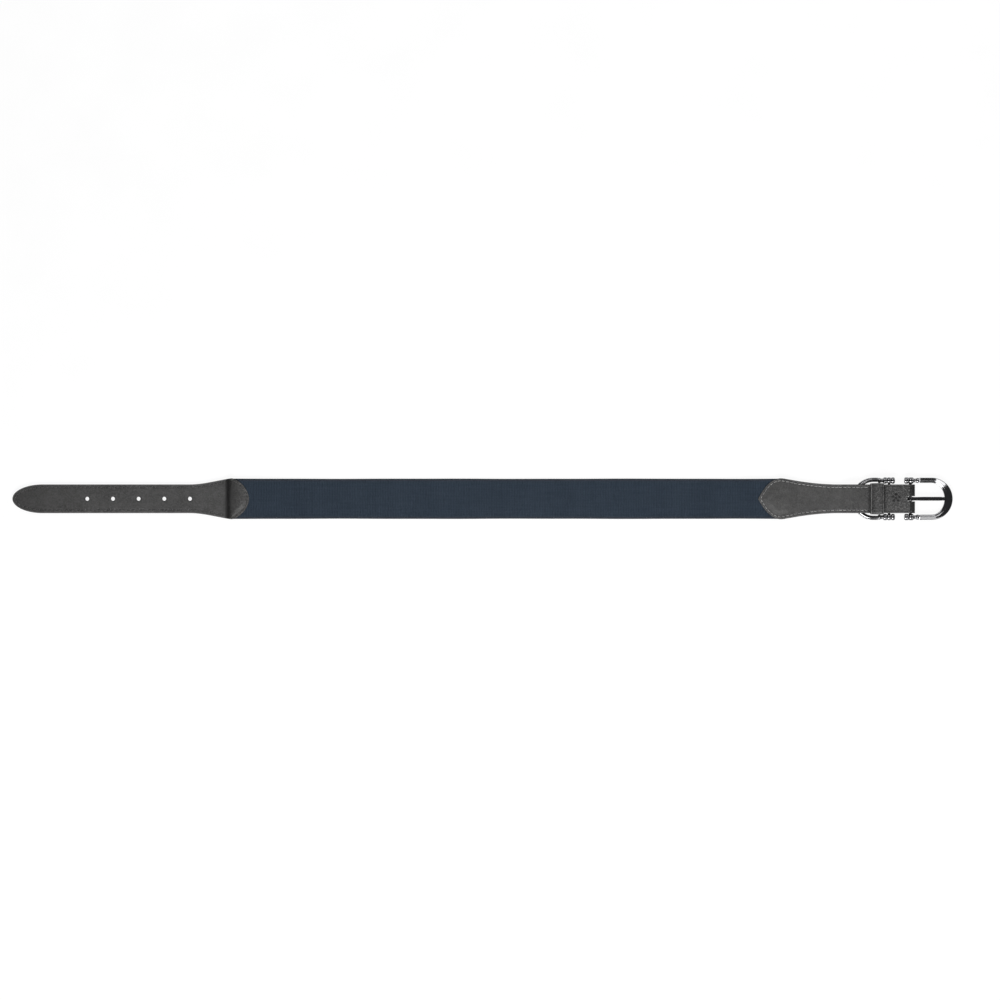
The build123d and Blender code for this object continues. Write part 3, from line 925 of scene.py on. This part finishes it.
# ---- keeper ----
def keeper_path(depth):
    """Closed (y, z) line round the keeper at this depth below its outer face, from under its middle."""
    half = keeper_high[1] - depth
    low, high = keeper_low[2] + depth, keeper_high[2] - depth
    low_radius, high_radius = max(1.5 - depth, 0.3), max(2.6 - depth, 1.2)
    right = np.concatenate([
        [(0.0, low)],
        arc(half - low_radius, low + low_radius, low_radius, -quarter, 12),
        arc(half - high_radius, high - high_radius, high_radius, 0.0, 12),
        [(0.0, high)],
    ])
    loop = np.concatenate([right, (right[::-1] * (-1, 1))[1:]])
    loop = at_lengths(loop, np.linspace(0, 1, 181)[:-1] * lengths_along(loop)[-1])
    crown = 0.25 * np.cos(np.clip(loop[:, 0] / half, -1, 1) * quarter)
    loop[:, 1] += np.where(loop[:, 1] > (low + high) / 2, crown - 0.25, 0.0)
    return loop


def build_keeper():
    """A band of leather round the strap, with a crease along each of its edges."""
    thickness = 1.1
    start, end = keeper_low[0], keeper_high[0]
    half_width = (end - start) / 2
    outside, inside = keeper_path(0.0), keeper_path(thickness)
    d = np.array([0, 0.1, 0.25, 0.45, 0.7, 1.0, 1.25, 1.45, 1.65, 1.9, 2.3, 3.2, 4.6])
    inset = np.concatenate([d, [half_width], d[::-1]])
    x = np.concatenate([start + d, [(start + end) / 2], end - d[::-1]])[:, None]
    sink = fallen_edge(inset, 0.5) + 0.17 * bell(inset - 1.45, 0.26) - 0.12 * smooth(inset / half_width)
    sink = (sink + 0.12)[:, None] + 0.03 * ripple(x, outside[None, :, 0], 3.0)
    share = np.clip(sink / thickness, 0, 0.6)[..., None]
    lift = 0.05 * (1 - smooth(inset / 0.5))[:, None, None]
    around = lengths_along(np.concatenate([outside, outside[:1]]))
    at_start = 1 - smooth((x[:, 0] - start) / (end - start))
    # A lighter rim along each edge, partly wear and partly a painted highlight, strongest on the start side.
    wear_and_highlight = (0.35 + 1.25 * at_start) * bell(inset - 0.6, 0.45)
    # Painted shade along each crease, and over the third of the keeper on its start side.
    crease_shade = 0.75 * bell(inset - 1.6, 0.4) + 0.62 * at_start * bell(inset - 2.9, 1.5)
    points = []
    for face, seen in (
        (outside * (1 - share) + inside * share, 1.0),
        (inside * (1 - lift) + outside * lift, 0.0),
    ):
        marks = (seen * wear_and_highlight[:, None], seen * crease_shade[:, None], 1.5)
        points.append(points_of(x, face[..., 0], face[..., 1], x, around[:-1], *marks).reshape(-1, 8))
    numbers = numbered(2, len(x), len(outside))
    faces = [quads(part, closed=True) for part in (*numbers, numbers[:, 0], numbers[:, -1])]
    rim = np.repeat(np.minimum(inset[:-1], inset[1:]) < 0.25, len(outside))
    slots = [np.where(rim, EDGE, LEATHER), np.where(rim, EDGE, FLESH), np.full(2 * len(outside), EDGE)]
    band = leather_mesh("keeper_band", points, faces, slots)
    declare(band, "chape", "leather", "keeper_loop")


# ---- elastic ----
def build_elastic():
    """Ribbed band with a firmer selvedge along each edge."""
    start, end = band_low[0], band_high[0]
    rib_pitch, rib_height = 2.5, 0.26
    rib_samples = np.array([0.0, 0.2, 0.34, 0.43, 0.5, 0.57, 0.66, 0.8])     # parts of a pitch
    ribs = int((end - start) / rib_pitch)
    u = start + np.append((np.arange(ribs)[:, None] + rib_samples).ravel(), ribs) * (end - start) / ribs
    part = np.append(np.tile(rib_samples, ribs), 0.0)[:, None]
    d = np.array([0, 0.15, 0.4, 0.8, 1.25, 1.6, 2.0, 2.5, 3.6, 6.4, 10.4, 15.2])
    u, y = np.meshgrid(u, np.concatenate([band_half - d, [0.0], -(band_half - d[::-1])]), indexing="ij")
    d = np.broadcast_to(np.concatenate([d, [band_half], d[::-1]]), u.shape)
    valley = bell(part - 0.5, 0.15)
    in_body = smooth((d - 1.5) / 0.9)
    selvedge = 1 - in_body
    cord = bell(d - 1.8, 0.42)
    round_top = 0.25 * (2 * part - 1) ** 2 - 0.25
    rib = rib_height * (round_top - 0.75 * valley) * (0.4 + 0.6 * in_body)
    sag = 0.08 * np.sin(u / 23.0 + y / 17.0) * np.sin(u / 61.0 - y / 29.0) * in_body
    top = band_thickness + rib - fallen_edge(d, 0.5) + 0.10 * cord - 0.10 * selvedge + sag - 0.08
    low = -rib * 0.6 + fallen_edge(d, 0.45)
    scallop = 0.05 * valley * np.exp(-d / 0.8) + 0.10 * np.sin(u / 31.0) + 0.05 * np.sin(u / 12.7)
    across = y - np.sign(y) * np.where(d < 6, scallop + 0.15, 0.0)
    points = []
    for h in (top, low):
        x, z = band_profile(u, h)
        points.append(points_of(x, across, z).reshape(-1, 3))
    numbers = numbered(2, *u.shape)
    sides = [numbers[:, :, 0], numbers[:, :, -1], numbers[:, 0], numbers[:, -1]]
    piece = mesh_piece(
        "elastic_webbing",
        np.concatenate(points),
        np.concatenate([quads(part) for part in (*numbers, *sides)]),
        [elastic],
        values={
            # valley carries the painted shade between the ribs; selvedge the greyer edge with a painted
            # highlight along the cord.
            "valley": np.tile((valley * in_body).ravel(), 2),
            "selvedge": np.tile(np.clip(selvedge + cord, 0, 1).ravel(), 2),
        },
        strip=np.tile(points_of(u, y).reshape(-1, 2), (2, 1)),
    )
    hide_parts("elastic_band")
    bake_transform(piece)


# ---- metal ----
ferrule_y = 18.1
rib_radius, groove_radius, heel_radius = 3.2, 2.35, 1.9
neck_radius, neck_length = 2.1, 2.4
bead_radius, bead_end_radius, bead_length = 2.6, 1.75, 3.0
frame_bow, frame_foot_z = 8.0, 0.5


def d_section(wide, low, top, drop, ridge_share, soft):
    """Closed section of a D as (distance from the inner edge, height): a ridge between two sloping faces,
    crisp if soft is small and a round crown if it is large."""
    foot, shoulder, lip = 0.75, 0.7, 0.35
    ridge, side = wide * ridge_share, top - drop
    a = np.linspace(wide - shoulder, lip, 24)
    t = np.where(a < ridge, (ridge - a) / (ridge - lip), (a - ridge) / (wide - shoulder - ridge))
    height = 1 - (np.hypot(t, soft) - soft) / (math.hypot(1, soft) - soft)
    return np.concatenate([
        arc(foot, low + foot, foot, 2 * quarter),
        arc(wide - foot, low + foot, foot, 3 * quarter),
        arc(wide - shoulder, side - shoulder, shoulder, 0.0),
        points_of(a, side + drop * height),
        arc(lip, side - lip, lip, quarter),
    ])


def d_body(centre_x, outer, arm, bow, toward, arm_x, low, top, slope, ridge_share, soft):
    """Points and faces of a D: two straight arms and a bow, slimmer where the arms meet the beads."""
    straight = np.linspace(arm_x, centre_x, 12)[:-1]
    turn = np.linspace(0, math.pi, 97)
    end_length, end_share, middle = 2.6, 0.72, (low + top) / 2

    def outline(arm_half, bow_reach):
        bent = points_of(centre_x + toward * bow_reach * np.sin(turn), arm_half * np.cos(turn))
        upper = points_of(straight, arm_half)
        return np.concatenate([upper, bent, upper[::-1] * (1, -1)])

    rings = []
    for a, b in zip(outline(outer - arm, outer - bow), outline(outer, outer)):
        wide = np.linalg.norm(b - a)
        from_end = min(abs(b[0] - arm_x), end_length) / end_length
        slim = end_share + (1 - end_share) * math.sin(from_end * quarter)
        section = d_section(wide, low, top, slope * wide, ridge_share, soft)
        flat = (a + b) / 2 + (b - a) / wide * ((section[:, :1] - wide / 2) * slim)
        rings.append(np.concatenate([flat, middle + (section[:, 1:] - middle) * slim], axis=1))
    return lofted(rings)


def turned(profile, axis_y, axis_z, segments=48):
    """A shape turned on a lathe about a line along x, from (x, radius) pairs."""
    angle = np.linspace(0, 2 * math.pi, segments, endpoint=False)
    return lofted([points_of(x, axis_y + r * np.cos(angle), axis_z + r * np.sin(angle)) for x, r in profile])


def ferrule_profile(heel, toward, ribs, pitch):
    """Ribs, a neck and a bead, as (x, radius)."""
    end_radius, rib_share, rib_power = 0.4, 0.94, 2.8
    profile = [(heel, end_radius)]
    for k in range(ribs):
        for t in np.linspace(0.0, 1.0, 15):
            swell = (1 - abs(2 * t - 1) ** rib_power) ** 0.5
            base = groove_radius if k or t > 0.5 else heel_radius
            x = heel + toward * (k + (1 - rib_share) / 2 + rib_share * t) * pitch
            profile.append((x, base + (rib_radius - base) * swell))
    neck_from = heel + toward * ribs * pitch
    for t in np.linspace(0.1, 0.9, 7):
        profile.append((neck_from + toward * t * neck_length, neck_radius - 0.18 * math.sin(math.pi * t)))
    bead_from = neck_from + toward * neck_length
    for t in np.linspace(0.0, 1.0, 15):
        swell = math.sqrt(max(1 - (2 * t - 1) ** 2, 0))
        radius = bead_end_radius + (bead_radius - bead_end_radius) * swell
        profile.append((bead_from + toward * t * bead_length, radius))
    profile.append((bead_from + toward * bead_length, end_radius))
    return profile


def metal_piece(name, parts, crisp_angle, body, node):
    """A casting of several parts; creases over this angle stay crisp."""
    piece = mesh_piece(name, *joined(parts), [metal])
    piece.data.set_sharp_from_angle(angle=math.radians(crisp_angle))
    declare(piece, body, "metal", node)


def build_d(name, node, body, shape, heel, ribs, pitch, extra=()):
    """A D with its pair of turned ferrules."""
    toward = shape["toward"]
    arm_x = heel + toward * (ribs * pitch + neck_length + bead_length / 2)
    profile = ferrule_profile(heel, toward, ribs, pitch)
    ferrules = [turned(profile, side * ferrule_y, bar_z) for side in (1, -1)]
    metal_piece(name, [d_body(arm_x=arm_x, **shape), *extra, *ferrules], 34, body, node)


def rest_ledge(bow_inner_x, low):
    """The small ledge inside the bow that the tongue's tip lies on."""
    start, end, half, top, soft, corner = bow_inner_x - 3.2, bow_inner_x + 0.8, 1.7, 1.5, 0.25, 0.6
    rings = []
    for z, pinch in ((low + 0.15, soft), (low + 0.15 + soft, 0.0), (top - soft, 0.0), (top, soft)):
        outline = [(end, half - pinch)]
        for angle in np.linspace(quarter, 3 * quarter, 9):
            side = np.sign(round(math.sin(angle), 6))
            x = start + corner + (corner - pinch) * math.cos(angle)
            outline.append((x, (half - corner) * side + (corner - pinch) * math.sin(angle)))
        outline.append((end, pinch - half))
        rings.append(np.array([(x, y, z) for x, y in outline]))
    return lofted(rings)


def build_buckle():
    """Buckle frame and trim ring."""
    outer = 20.85
    shape = dict(
        centre_x=frame_high[0] - outer, outer=outer, arm=5.15, bow=frame_bow, toward=1,
        low=frame_low[2] + 0.15, top=5.3, slope=0.235, ridge_share=0.42, soft=0.07,
    )
    ledge = rest_ledge(frame_high[0] - frame_bow, frame_foot_z)
    build_d("d_frame", "buckle_frame", "buckle", shape, frame_low[0], 2, 4.7, extra=[ledge])
    outer = 20.9
    shape = dict(
        centre_x=ring_low[0] + outer, outer=outer, arm=4.2, bow=5.0, toward=-1,
        low=1.85, top=5.25, slope=0.21, ridge_share=0.5, soft=0.9,
    )
    build_d("d_ring", "trim_ring", "chape", shape, ring_high[0], 3, 3.83)


def rounded_box_ring(half_wide, half_tall, radius):
    """Closed (y, z) outline of a rectangle with round corners, 6 points a corner."""
    radius = min(radius, 0.95 * half_wide, 0.95 * half_tall)
    return np.concatenate([
        arc(y * (half_wide - radius), z * (half_tall - radius), radius, k * quarter)
        for k, (y, z) in enumerate(((1, 1), (-1, 1), (-1, -1), (1, -1)))
    ])


def tongue_shank(end):
    """The prong's shank, from inside its eye to its round end: narrower at the eye, flat on top."""
    nose, half_tall, corner = 2.2, 1.7, 0.42
    straight = np.linspace(end - bar_x - 1.9, nose, 26)
    rounded = nose * (1 - np.sin(np.linspace(0, 0.5, 16)[1:] * math.pi))
    rings = []
    for left in (*straight, *rounded):
        half = 1.75 + 0.18 * smooth((end - left - bar_x - 4.5) / 8.5)
        round_off = math.sqrt(max(1 - (1 - min(left / nose, 1)) ** 2, 0.002))
        y, z = rounded_box_ring(half * round_off, half_tall * (0.45 + 0.55 * round_off), corner).T
        rings.append(points_of(end - left, y, z + bar_z))
    return lofted(rings)


def tongue_eye():
    """The prong's eye, a soft-edged ring round the bar."""
    outer, bore, half = 3.2, 1.68, 1.9
    section = rounded_box_ring((outer - bore) / 2, half, 0.4) + ((outer + bore) / 2, 0)
    turn = np.linspace(0, 2 * math.pi, 49)[:, None]
    r, y = section.T
    points = points_of(bar_x + r * np.cos(turn), y, bar_z + r * np.sin(turn)).reshape(-1, 3)
    return points, quads(numbered(len(turn), len(section)), closed=True).tolist()


def build_tongue():
    """The prong: an eye on the bar and a long shank with a rounded end."""
    metal_piece("prong", [tongue_shank(tongue_tip_x), tongue_eye()], 40, "tongue", "buckle_tongue")


def finish_cad_nodes():
    """The bars keep their CAD shape and get the plated metal; the keeper's stitches get thread."""
    looks = {"buckle_bar": metal, "trim_ring_bar": metal, "keeper_stitching": thread_dark}
    for node, material in looks.items():
        mesh = frame["nodes"][node].data
        mesh.materials.clear()
        mesh.materials.append(material)


# ---- stage ----
def from_buckle(azimuth, height, distance):
    """A place at this azimuth and height in degrees, and this far from the buckle."""
    azimuth, height = math.radians(azimuth), math.radians(height)
    level, up = distance * math.cos(height), distance * math.sin(height)
    return Vector((bar_x * MM + level * math.cos(azimuth), level * math.sin(azimuth), up))


def area_light(name, place, aim_x, size, power):
    """A soft box that faces this place along the belt."""
    data = bpy.data.lights.new(name, "AREA")
    data.shape, data.size, data.size_y, data.energy = "RECTANGLE", size[0], size[1], power
    light = shown(name, data)
    light.location = place
    light.rotation_euler = (Vector((aim_x, 0, 0)) - place).to_track_quat("-Z", "Y").to_euler()


def build_lights():
    """One soft box over the belt, and six that each light one of the polished metal's faces."""
    area_light("low", Vector((0.02, -0.85, 0.75)), 0.0, (0.7, 0.5), 13)
    for name, azimuth, height, size, power in (
        ("right", 50, 31, (0.95, 0.6), 7.5),
        ("left", 246, 27, (1.05, 0.45), 5.2),
        ("top", 106, 44, (1.0, 1.1), 9.5),
        ("fill", 299, 48, (0.7, 0.8), 5.6),
        ("arm", 280, 33, (0.9, 0.35), 1.9),
        ("inner arm", 80, 21, (0.9, 0.25), 1.35),
    ):
        area_light(name, from_buckle(azimuth, height, 2.0), bar_x * MM, size, power)


def build_stage():
    """Floor, background and lights."""
    half, clearance = 6.0, 0.0003
    mesh = bpy.data.meshes.new("floor")
    corners = [(-half, -half, 0), (half, -half, 0), (half, half, 0), (-half, half, 0)]
    mesh.from_pydata(corners, [], [range(4)])
    mesh.materials.append(floor_material())
    floor = shown("floor", mesh)
    floor.location.z = -clearance
    world = bpy.data.worlds.new("studio")
    world.use_nodes = True
    world.node_tree.nodes["Background"].inputs[0].default_value = (0.072, 0.072, 0.076, 1.0)
    bpy.context.scene.world = world
    build_lights()
    bpy.context.scene.view_settings.view_transform = "Standard"


def build_camera():
    """Straight above the belt, so far away that the belt fills most of the frame's width."""
    data = bpy.data.cameras.new("camera")
    data.lens, data.sensor_width = 100.0, 36.0
    camera = shown("camera", data)
    shown_width, right_of_middle, below_middle = 0.99, 0.0173, 0.0012
    camera.location = (right_of_middle, -below_middle, shown_width * data.lens / data.sensor_width)
    bpy.context.scene.camera = camera


build_camera()
build_stage()
build_elastic()
build_billet()
build_chape()
build_keeper()
build_buckle()
build_tongue()
finish_cad_nodes()
